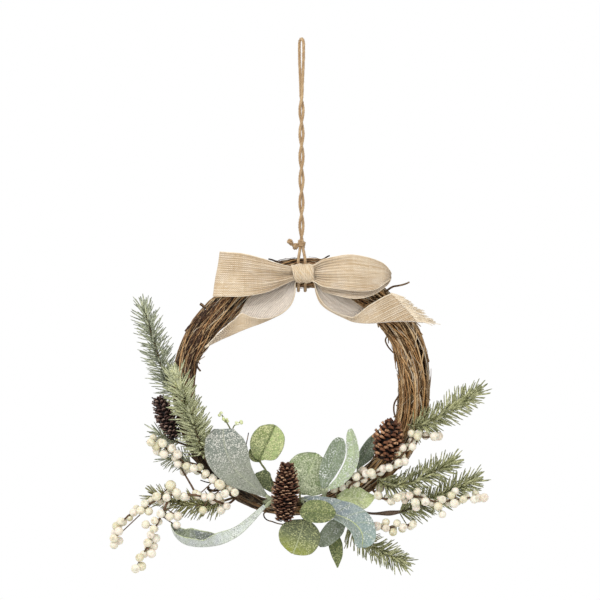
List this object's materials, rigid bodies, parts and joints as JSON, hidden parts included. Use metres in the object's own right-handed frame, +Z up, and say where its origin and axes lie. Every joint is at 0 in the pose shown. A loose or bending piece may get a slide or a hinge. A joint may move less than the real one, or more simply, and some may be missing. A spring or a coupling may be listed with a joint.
{
  "type": "hanging twig wreath",
  "caption": "Round wreath of wound vine twigs with a hessian bow, a twisted jute hanging loop, and frosted fir, berries, cones and leaves along its lower half.",
  "frame": {"origin": "under the top of the jute loop, where a hook or nail bears", "axes": "+Z up as the wreath hangs, +X to the right seen from the front, and the front with its bow and sprays faces -Y"},
  "size_m": [0.3835, 0.0687, 0.5364],
  "materials": {
    "twigs": "matt dry bark",
    "jute": "matt, hairy",
    "hessian": "matt open weave",
    "cone": "satin",
    "silver_leaf": "matt, felted, frosted",
    "sage_leaf": "matt, felted, frosted",
    "green_leaf": "matt with frost",
    "buds": "matt",
    "berries": "satin with frost",
    "fir": "matt with frost"
  },
  "bodies": {
    "root": {"twig_ring": "twigs", "hanging_cord": "jute", "cord_wrap": "jute", "bow_ribbon": "hessian", "bow_knot_band": "hessian", "pine_cone_middle": "cone", "pine_cone_right": "cone", "pine_cone_left": "cone", "lambs_ear_upright": "silver_leaf", "lambs_ear_lower_left": "silver_leaf", "lambs_ear_drooping": "silver_leaf", "lambs_ear_pair": "sage_leaf", "lambs_ear_dark": "sage_leaf", "eucalyptus_left": "green_leaf", "eucalyptus_behind_cone": "green_leaf", "eucalyptus_front": "green_leaf", "eucalyptus_bottom": "green_leaf", "eucalyptus_lower_right": "green_leaf", "eucalyptus_pointed": "green_leaf", "bud_sprig": "buds", "berry_spray_upper_left": "berries", "berry_spray_lower_left": "berries", "berry_spray_upper_right": "berries", "berry_spray_middle_right": "berries", "berry_spray_lower_right": "berries", "fir_spray_left_top": "fir", "fir_spray_left_front": "fir", "fir_spray_left_low": "fir", "fir_spray_left_under": "fir", "fir_spray_lower_left": "fir", "fir_spray_right_top": "fir", "fir_spray_right_middle": "fir", "fir_spray_right_low": "fir", "fir_spray_bottom": "fir"}
  },
  "joints": []
}
